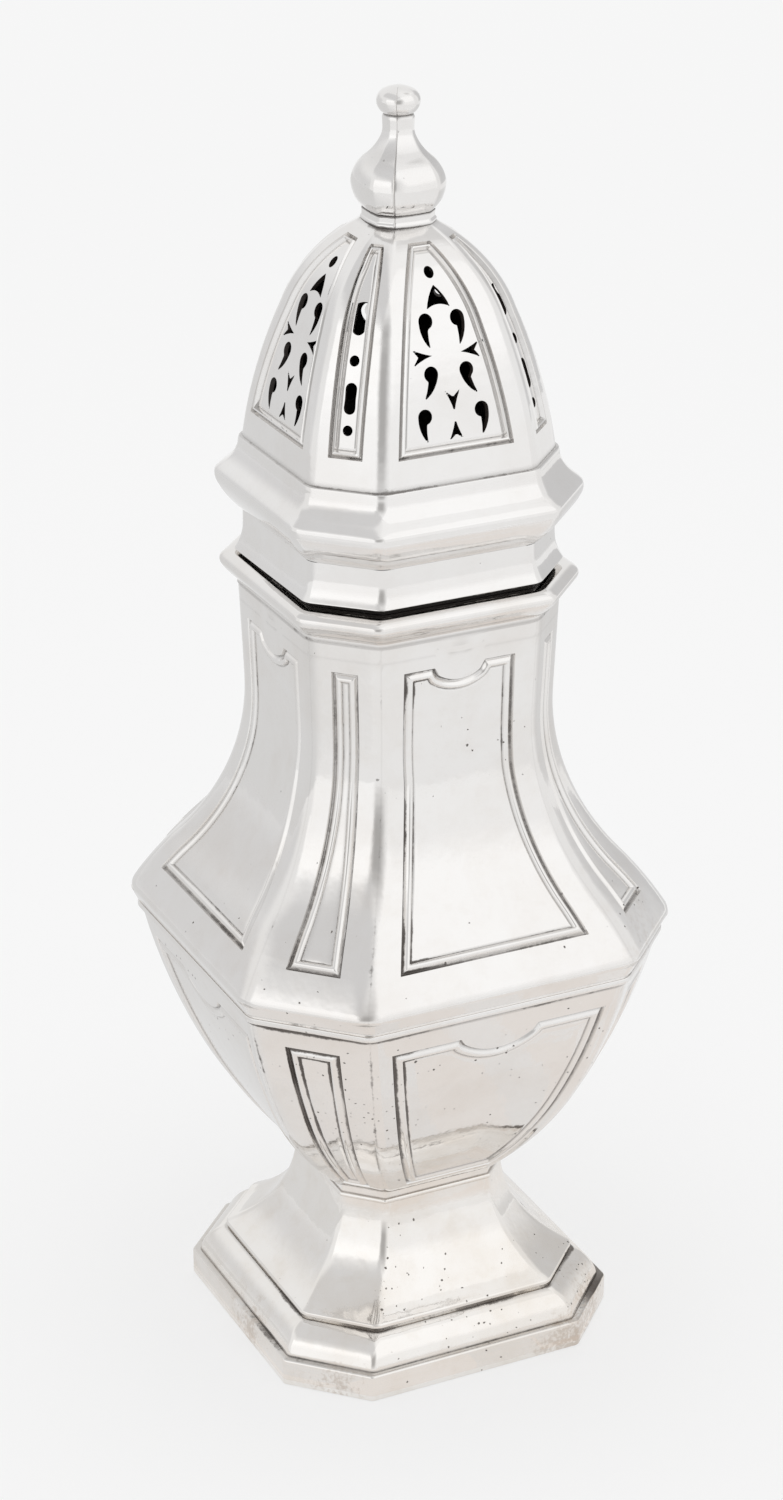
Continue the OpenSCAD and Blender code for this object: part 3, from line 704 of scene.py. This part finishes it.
def silver(name, tint, warm, pits, dark, stains, satin, hollow=PAINTED_HOLLOW_SHADE, black=OXIDE):
    """Old polished silver: bright worn faces, broken oxide and a faint painted shade in the grooves, faint
    film, small pits, and painted shade on faces that look inwards.

    Film turns its colour from tint to warm. pits, dark and stains give the strength of pits, of oxide with
    the painted groove shade, and of brown stain, satin is the least roughness, and hollow is the dark colour
    painted as shade on faces that look inwards.
    """
    made, start = blank_material(name)
    place = start.node("ShaderNodeTexCoord", out=3)
    value = lambda key: start.node("ShaderNodeAttribute", {"attribute_name": key}, out=2)
    groove, inner = value("tarnish_and_groove_shade"), value("inside")
    soiled, pitted, stained = value("soiled"), value("pitted"), value("stained")
    noise = lambda scale, detail, rough=0.5: start.node(
        "ShaderNodeTexNoise", Vector=place, Scale=scale, Detail=detail, Roughness=rough)
    wave, stretch, film_noise = noise(26.0, 1.0), noise(46.0, 2.0), noise(80.0, 4.0, 0.6)
    patch, grain = noise(300.0, 4.0, 0.65), noise(1500.0, 3.0, 0.6)

    # Oxide keeps to a thin line in a groove, and fills it where dirt lies thick. A faint even grey along the
    # grooves under it is painted shade
    thick = soiled * 0.85 + stretch.step(0.52, 0.7) * 0.4
    bar = 0.55 - 0.5 * thick + (patch - 0.5) * 0.8 + (grain - 0.5) * 0.4
    oxide_and_groove_shade = (groove - bar).step(0.0, 0.3) * (groove * 4.0).step(0.1, 1.0) * (0.65 + 0.3 * thick)
    # Painted shade: the faint even grey along the grooves
    oxide_and_groove_shade = oxide_and_groove_shade.top(groove.step(0.2, 0.8) * 0.42) * dark

    # Pits are the ragged centres of a few cells, close together where the silver is pitted
    cells = {"Vector": place, "Scale": 1150.0, "Randomness": 1.0}
    reach = start.node("ShaderNodeTexVoronoi", {"feature": "F1"}, **cells)
    pick = start.node("ShaderNodeTexVoronoi", {"feature": "F1"}, out=1, **cells)
    red = start.node("ShaderNodeSeparateColor", Color=pick)
    green = start.node("ShaderNodeSeparateColor", out=1, Color=pick)
    often = 0.98 - 0.5 * pitted * film_noise.step(0.3, 0.6) - 0.08 * soiled
    wide = 0.17 * green + 0.03 + 0.05 * pitted
    pit = (wide - reach - (grain - 0.5) * 0.9).step(0.0, 0.1) * (red - often).step(0.0, 0.02) * pits

    # Film and brown stain lie over the bright silver, oxide, the painted groove shade and pits over both,
    # and the painted shade of inner faces over all
    film = film_noise.step(0.4, 0.72) * 0.5 + wave.step(0.4, 0.7) * 0.3 + patch.step(0.45, 0.75) * 0.3
    brown = (patch * 0.35 + grain * 0.65 + stained * 0.2 - 0.58).step(0.0, 0.16) * stained * stains
    bright = brown.mix(film.mix(opaque(tint), opaque(warm)), opaque(BROWN))
    stain = oxide_and_groove_shade.top(pit)
    # Painted shade: faces that look inwards take the dark hollow colour, rougher and less metallic
    colour = inner.mix(stain.mix(bright, opaque(black)), opaque(hollow))
    rough = satin + 0.05 * film + 0.03 * grain + 0.2 * brown + 0.3 * stain + 0.4 * inner
    metal = 1.0 - 0.35 * stain - 0.8 * inner
    height = wave * 3.6 + film_noise * 0.8 + patch * 0.015 + grain * 0.002 - pit * 0.3
    bump = start.node("ShaderNodeBump", Height=height, Strength=1.0, Distance=BUMP)
    return finished(made, start.node("ShaderNodeBsdfPrincipled", Base_Color=colour, Roughness=rough,
                                     Metallic=metal, Normal=bump))


def pieces_of(ratio, body, slot, **look):
    """Group of pieces whose silver is named for its slot."""
    return Group(ratio, body, slot, silver(slot, **look))


# hollow is the colour of the painted shade on each group's inner faces
FOOT = pieces_of(FOOT_RATIO, "caster_body", "silver_foot",
                 tint=(0.88, 0.86, 0.835), warm=(0.785, 0.735, 0.675), pits=0.85, dark=0.95, stains=0.7,
                 satin=0.04, hollow=(0.3, 0.27, 0.24))
BODY = pieces_of(BODY_RATIO, "caster_body", "silver_body",
                 tint=(0.85, 0.838, 0.825), warm=(0.79, 0.76, 0.73), pits=0.85, dark=1.0, stains=0.3,
                 satin=0.045, hollow=(0.46, 0.43, 0.39))
COVER = pieces_of(COVER_RATIO, "cover", "silver_cover",
                  tint=(0.86, 0.85, 0.84), warm=(0.81, 0.79, 0.77), pits=0.4, dark=0.9, stains=0.2,
                  satin=0.06)
# Darker, duller silver with near-black oxide for the bezel: painted shade where it shows in the gap under
# the skirt
SHADED_BEZEL = pieces_of(COVER_RATIO, "cover", "silver_inside",
                   tint=(0.68, 0.65, 0.61), warm=(0.58, 0.54, 0.49), pits=0.3, dark=1.6, stains=0.0,
                   satin=0.2, black=(0.016, 0.013, 0.011))


# Foot

moulding("foot_rim", FOOT, 1.2,
         [(26.5, 0), (28.7, 0, 0, 0.35), (28.7, RIM_TOP, 0, 0.5), (26.5, RIM_TOP)],
         marks=[(4.6, 0.2, 0.55), (0, 0.3, 0.4)])

moulding("foot_ovolo", FOOT, 1.8,
         [(27.7, RIM_TOP, 0.75, 0.1), (24.0, OVOLO_TOP, 0, 0.2), (21.6, OVOLO_TOP),
          (21.6, 8.2), (23.0, 8.2, -0.75), (26.7, RIM_TOP)],
         marks=[(4.65, 0.22, 0.75), (9.2, 0.2, 0.6)])

moulding("foot_pedestal", FOOT, 2.6,
         [(0, 24.6), (13.2, 24.6, 2.3), (23.0, 9.3), (22.6, OVOLO_TOP), (23.6, OVOLO_TOP), (23.6, 9.7),
          (24.0, 9.7, 0, 0.12), (24.0, 10.3, -2.3, 0.25), (14.2, PEDESTAL_TOP), (0, PEDESTAL_TOP)],
         marks=[(9.45, 0.22, 0.5), (25.5, 0.3, 0.45)], closed=False)

moulding("foot_collar", FOOT, 0.6,
         [(14.2, PEDESTAL_TOP, 0.4), (14.2, 26.5), (14.2, COLLAR_TOP), (11.0, COLLAR_TOP),
          (11.0, PEDESTAL_TOP)],
         marks=[(25.6, 0.2, 0.5), (26.55, 0.2, 0.6), (28.2, 0.25, 0.4)])


# Body

BOWL_BORDER = Border(INSETS, 1.1, 1.2)
UPPER_BORDER = Border(INSETS, 0.98, 1.4)
SLIM_BORDER = UPPER_BORDER._replace(unit=0.85)
BOWL_DIP = Dip(13.0, 3.3, 9.0)
UPPER_DIP = Dip(8.2, 2.4, 5.7)
UPPER_MARGIN = (0.33, 0.67)

bowl_lining = side([(33.7, BOWL_TOP, -0.62), (26.7, 47.0, -0.95), (14.4, 29.3), (0, 29.3)], step=6.0)
panelled_shell("bowl", BODY, 4.0,
               side([(15.4, COLLAR_TOP, 0.95), (27.7, 46.0, 0.62), (34.7, BOWL_TOP)], step=2.0),
               np.concatenate([bowl_lining, [[0, COLLAR_TOP]]]),
               heights=(30.1, 64.0),
               panels=(Panel(3.2, 2.9, 0.6, framed(dip_field(BOWL_DIP, 15.6), BOWL_BORDER)),
                       Panel(2.4, 4.9, 0.0, framed((0, 0.5), BOWL_BORDER))),
               rows=([0, 0.15, 0.4, 0.7, 0.95], span(38), [0.1, 0.3, 0.55, 0.75, 0.88, 0.95, 1.0]),
               border=BOWL_BORDER, dip=BOWL_DIP, strength=0.85,
               marks=[(28.4, 0.3, 0.4), (67.3, 0.35, 0.7)])

moulding("girdle_band", BODY, 3.0,
         [(34.7, BOWL_TOP, 0, 0.05), (35.3, 67.85, 0, 0.25), (35.3, 68.7, 0, 0.2), (34.95, 68.7),
          (34.95, 69.1), (35.3, 69.1, 0, 0.2), (36.15, GIRDLE_TOP), (33.7, GIRDLE_TOP), (33.7, BOWL_TOP)],
         marks=[(67.45, 0.3, 0.7), (68.9, 0.2, 0.4)])

panelled_shell("upper_body", BODY, 6.5,
               side([(36.15, GIRDLE_TOP), (36.4, 71.7, 0.35, 0.6), (29.4, 81.6, -2.5), (20.4, 108.0, 0, 1.5),
                     (21.0, UPPER_TOP)], step=2.0),
               side([(19.2, UPPER_TOP), (19.2, 107.0, 2.5), (28.4, 80.6, -0.35), (35.4, 70.9)], step=6.0),
               heights=(76.6, 118.8),
               panels=(Panel(4.8, 3.7, 0.0, framed(dip_field(UPPER_DIP, 6.9), UPPER_BORDER, UPPER_MARGIN)),
                       Panel(4.8, 3.6, 0.0, framed((0,), SLIM_BORDER, UPPER_MARGIN))),
               rows=([0, 0.04, 0.08, 0.11, 0.15, 0.2, 0.3, 0.45, 0.6, 0.75, 0.9], span(42),
                     [0.2, 0.45, 0.62, 0.7, 0.78, 0.9, 0.96, 1.0]),
               border=UPPER_BORDER, dip=UPPER_DIP, strength=0.78,
               marks=[(123.3, 0.25, 0.6), (122.6, 0.14, 0.5), (121.8, 0.13, 0.48), (120.8, 0.15, 0.44)])

moulding("neck_rim", BODY, 2.8,
         [(21.0, UPPER_TOP), (21.0, 124.1, 0.25, 0.15), (23.4, 127.0, 0.3, 0.6), (21.8, MOUTH, 0, 0.2),
          (21.4, MOUTH), (19.2, 128.3), (19.2, UPPER_TOP)],
         marks=[(123.5, 0.3, 0.7), (124.2, 0.3, 0.3)])


# Cover

# The bezel's dark band at the height of the gap under the skirt is painted shade
moulding("cover_bezel", SHADED_BEZEL, 0.6,
         [(18.95, 118.9), (18.95, MOUTH), (20.2, MOUTH), (20.2, SKIRT_FOOT), (18.15, SKIRT_FOOT),
          (18.15, 118.9)],
         marks=[(128.6, 0.7, 1.0)])

moulding("cover_skirt", COVER, 2.8,
         [(21.4, SKIRT_FOOT, -0.3, 0.25), (20.2, 133.2, 0, 0.9), (20.2, SKIRT_TOP), (18.95, SKIRT_TOP),
          (18.95, SKIRT_FOOT)],
         marks=[(135.1, 0.3, 0.2)], rake=0.4)

moulding("cover_cornice", COVER, 3.2,
         [(20.2, SKIRT_TOP, 0.45), (23.9, 140.6, 0.2, 0.8), (23.05, 142.3, -0.6, 0.8), (20.65, 146.4),
          (20.55, 146.75, 0, 0.1), (20.2, CORNICE_TOP), (18.95, CORNICE_TOP), (18.95, SKIRT_TOP)],
         marks=[(135.3, 0.3, 0.2), (146.85, 0.14, 0.8)])


def gathered(marks, last):
    """Index of each row or column, where those within a frame give way to the frame's edge."""
    index = np.arange(len(marks))
    edges = np.flatnonzero(marks == 0)
    nearest = edges[np.abs(index[:, None] - edges).argmin(1)]
    return np.where((marks > 0) & (marks < last), nearest, index)


def pierced_dome():
    """Dome with framed panels and real openings, its plain inner surface set in along the normal."""
    wall, least_reach, strength = 1.0, 2, 0.64
    border = Border(DOME_INSETS, 0.66, 2.1)
    last = border.insets[-1] * border.unit
    outer = side([(20.2, CORNICE_TOP, 0.7), (14.9, 168.0, 1.45), (4.8, DOME_TOP)], step=1.5)
    panels = (Panel(2.6, 2.6, -0.2, framed(shares(27), border, fillet=3)),
              Panel(2.85, 1.05, -0.3, framed(shares(7), border, fillet=3)))
    rows = ([0, 0.06, 0.3, 0.65, 0.95], span(84), [0.1, 0.55, 1.0])
    parts = panelled(outer, COVER.ratio, 4.0, (151.2, 178.9), panels, rows, border, taper=2.6)
    back, keep = [], []
    for part, holes in zip(parts, (broad_holes(), narrow_holes())):
        gap = clearance(part["x"], part["z"] - CORNICE_TOP, holes)
        keep.append(np.where(part["inset"] >= FIELD, gap, FIELD))
        pick = np.ix_(gathered(part["rows"], last), gathered(part["cols"], last))
        x, n, z, slope = (part[key][pick] for key in ("x", "n", "z", "slope"))
        size = np.hypot(1, slope)
        inner_x = x * (1 - wall / np.maximum(n, least_reach))
        back.append((inner_x, n - wall / size, z + wall * slope / size))
    skin = spun([part["skin"] for part in parts])
    frames = strength * spread([part["dirt"] for part in parts])
    dark = np.maximum(frames, lines(skin[:, :, 2], [(147.0, 0.2, 0.9), (180.4, 0.4, 0.6)]))
    points, faces, values = pierced(skin, spun(back), spread(keep), dark)
    solid("pierced_dome", points, faces, values, COVER)


pierced_dome()

moulding("finial_bead", COVER, 0.9,
         [(0, DOME_TOP), (4.8, DOME_TOP, 0, 0.1), (4.78, 180.95, 0, 0.1), (4.58, 181.2, 0, 0.15),
          (4.6, BEAD_TOP, 0, 0.05), (0, BEAD_TOP)],
         marks=[(180.5, 0.2, 0.9), (182.2, 0.2, 0.9)], closed=False,
         turned=((180, 0.25), (184, 0.25)), seam=0.16)

moulding("finial", COVER, 1.6,
         [(0, BEAD_TOP), (4.5, BEAD_TOP, 0.36), (5.95, 186.1, 0.34), (4.45, 189.6, -0.35),
          (1.95, 193.5, 0, 0.6), (2.05, 196.0, 0.31), (3.2, 197.9, 0.3), (2.06, 199.51, 0.12), (0, TIP)],
         marks=[(182.25, 0.2, 0.9), (190.5, 2.6, 0.42), (196.0, 0.25, 1.0)], closed=False,
         turned=((182, 0.25), (184, 0.55), (189, 0.55), (192, 0.3), (195.2, 0.25), (196.1, 1.0), (200, 1.0)),
         seam=0.26)


# Studio, in metres

# Greys of the floor under the lamp and as it is seen, and of the room as it is seen and as it gives light
FLOOR_MATT, FLOOR_SEEN = 0.95, 0.925
ROOM_SEEN, ROOM_LIGHT = 0.915, 0.24

# Heights above the floor of the point that the cards face and of the cards that lie on the floor
MIDDLE, LYING = 0.1, 0.001


def standing(azimuth, elevation, distance):
    """Place at a bearing and height in degrees from the caster, with the right and up of a card there.

    The card faces the caster's middle.
    """
    turn, rise = math.radians(azimuth), math.radians(elevation)
    out = np.array([math.cos(rise) * math.cos(turn), math.cos(rise) * math.sin(turn), math.sin(rise)])
    right = np.array([-math.sin(turn), math.cos(turn), 0])
    return out * distance + np.array([0, 0, MIDDLE]), right, np.cross(out, right)


def lying(x, y):
    """Place on the floor, with the right and up of a card there."""
    return np.array([x, y, LYING]), np.array([1.0, 0, 0]), np.array([0, 1.0, 0])


def staged(name, points, faces, material):
    """Mesh that belongs to the studio and not to the caster."""
    mesh = bpy.data.meshes.new(name)
    mesh.from_pydata(points, [], faces)
    mesh.materials.append(material)
    obj = bpy.data.objects.new(name, mesh)
    bpy.context.scene.collection.objects.link(obj)
    return obj


def card(name, pose, width, height, value, soft):
    """Grid of points place + right u + up v, seen only in the silver, which fades over soft at its edges."""
    place, right, up = pose
    count = 25
    share = np.linspace(-0.5, 0.5, count)
    u, v = (axis.ravel() for axis in np.meshgrid(share * width, share * height))
    points = place + u[:, None] * right + v[:, None] * up
    i, j = (axis.ravel() for axis in np.meshgrid(np.arange(count - 1), np.arange(count - 1)))
    corner = i * count + j
    faces = np.stack([corner, corner + 1, corner + count + 1, corner + count], axis=-1)
    rise = [np.clip((half - np.abs(axis)) / soft, 0, 1) for half, axis in ((width / 2, u), (height / 2, v))]
    cover = np.prod([r * r * (3 - 2 * r) for r in rise], axis=0)
    made, start = blank_material(name)
    shown = start.node("ShaderNodeAttribute", {"attribute_name": "cover"}, out=2)
    clear = start.node("ShaderNodeBsdfTransparent")
    glow = start.node("ShaderNodeEmission", Color=opaque(value), Strength=1.0)
    finished(made, start.node("ShaderNodeMixShader", i0=shown, i1=clear, i2=glow))
    obj = staged(name, points.tolist(), faces.tolist(), made)
    attribute = obj.data.attributes.new("cover", "FLOAT", "POINT")
    attribute.data.foreach_set("value", cover.astype(np.float32))
    obj.visible_camera = False
    obj.visible_diffuse = False
    obj.visible_shadow = False
    obj.visible_transmission = False


def sight(start):
    """1 for rays from the camera and for what metal or glass shows, 0 for those that only carry light."""
    path = start.node("ShaderNodeLightPath").socket.node.outputs
    camera_ray, glossy, through = (Wire(start.tree, path[f"Is {kind} Ray"])
                                   for kind in ("Camera", "Glossy", "Transmission"))
    return camera_ray + glossy + through


def floor():
    """Large pale floor whose own colour is seen through a part of the shadow, and alone far away."""
    size = 4.0
    made, start = blank_material("floor_pale")
    matt = start.node("ShaderNodeBsdfPrincipled", Base_Color=opaque(FLOOR_MATT), Roughness=0.9,
                      Specular_IOR_Level=0.0)
    plain = start.node("ShaderNodeEmission", Color=opaque(FLOOR_SEEN), Strength=1.0)
    place = start.node("ShaderNodeTexCoord", out=3)
    far = start.node("ShaderNodeVectorMath", {"operation": "LENGTH"}, out=1, i0=place).step(0.25, 1.0)
    own = sight(start) * (0.65 + 0.35 * far)
    finished(made, start.node("ShaderNodeMixShader", i0=own, i1=matt, i2=plain))
    corners = [(-size, -size, 0), (size, -size, 0), (size, size, 0), (-size, size, 0)]
    staged("floor", corners, [(0, 1, 2, 3)], made)


def lamp():
    """Wide soft lamp high over the caster, for the floor."""
    data = bpy.data.lights.new("overhead", "AREA")
    data.size = 4.0
    data.energy = 74.0
    obj = bpy.data.objects.new("overhead", data)
    obj.location = (0, 0, 2.2)
    obj.visible_glossy = False
    bpy.context.scene.collection.objects.link(obj)


def room():
    """World of one grey as it is seen and of a darker one as it gives light."""
    world = bpy.data.worlds.new("studio")
    world.use_nodes = True
    world.node_tree.nodes.clear()
    start = Wire(world.node_tree, None)
    plain = start.node("ShaderNodeBackground", Color=opaque(ROOM_SEEN), Strength=1.0)
    light = start.node("ShaderNodeBackground", Color=opaque(ROOM_LIGHT), Strength=1.0)
    both = start.node("ShaderNodeMixShader", i0=sight(start), i1=light, i2=plain)
    output = world.node_tree.nodes.new("ShaderNodeOutputWorld")
    world.node_tree.links.new(both.socket, output.inputs[0])
    bpy.context.scene.world = world


def studio():
    """White room with even light. Soft cards, seen only in the silver, give it brighter and darker sides."""
    room()
    floor()
    lamp()
    card("ceiling", standing(-20, 68, 1.05), 1.5, 1.1, 1.02, 0.35)
    card("front", standing(-56, 3, 0.75), 1.1, 0.56, 0.99, 0.2)
    card("front_top", standing(-56, 38, 1.0), 1.3, 1.3, 1.11, 0.25)
    card("window", standing(-155, 3, 0.7), 0.75, 0.56, 1.06, 0.2)
    card("window_top", standing(-157, 20, 0.95), 0.95, 0.56, 1.16, 0.13)
    card("back_corner", standing(123, 6, 1.2), 1.6, 0.9, (0.76, 0.76, 0.765), 0.4)
    card("dim_top", standing(-178, 60, 1.0), 1.7, 0.95, (0.73, 0.73, 0.735), 0.27)
    card("camera_side", standing(-115.8, 19, 0.9), 0.95, 1.0, (0.48, 0.475, 0.47), 0.4)
    card("right_side", standing(26, 14, 1.0), 0.8, 1.1, (0.66, 0.66, 0.665), 0.25)
    card("right_top", standing(10, 65, 0.95), 0.5, 0.42, (0.76, 0.755, 0.75), 0.2)
    card("right_floor", lying(0.3, 0.15), 0.5, 0.5, 0.74, 0.15)
    card("dim_floor", lying(-0.6, 0.85), 1.5, 2.0, 0.75, 0.2)
    card("warm_floor", lying(0.0, -0.06), 0.28, 0.2, (0.88, 0.835, 0.8), 0.08)
    bpy.context.scene.view_settings.view_transform = "Standard"


def camera():
    """Camera of the photograph: 783 by 1500, its long side on a 36 mm sensor."""
    data = bpy.data.cameras.new("camera")
    data.sensor_width = 36.0
    data.lens = 87.79
    data.clip_start, data.clip_end = 0.01, 20.0
    obj = bpy.data.objects.new("camera", data)
    right, up, back = (0.9002, -0.4355, 0.0), (0.1800, 0.3721, 0.9106), (-0.3966, -0.8197, 0.4133)
    place = (-0.22359, -0.45990, 0.32853)
    obj.matrix_world = Matrix([[right[k], up[k], back[k], place[k]] for k in range(3)] + [[0, 0, 0, 1]])
    bpy.context.scene.collection.objects.link(obj)
    bpy.context.scene.camera = obj


camera()
studio()
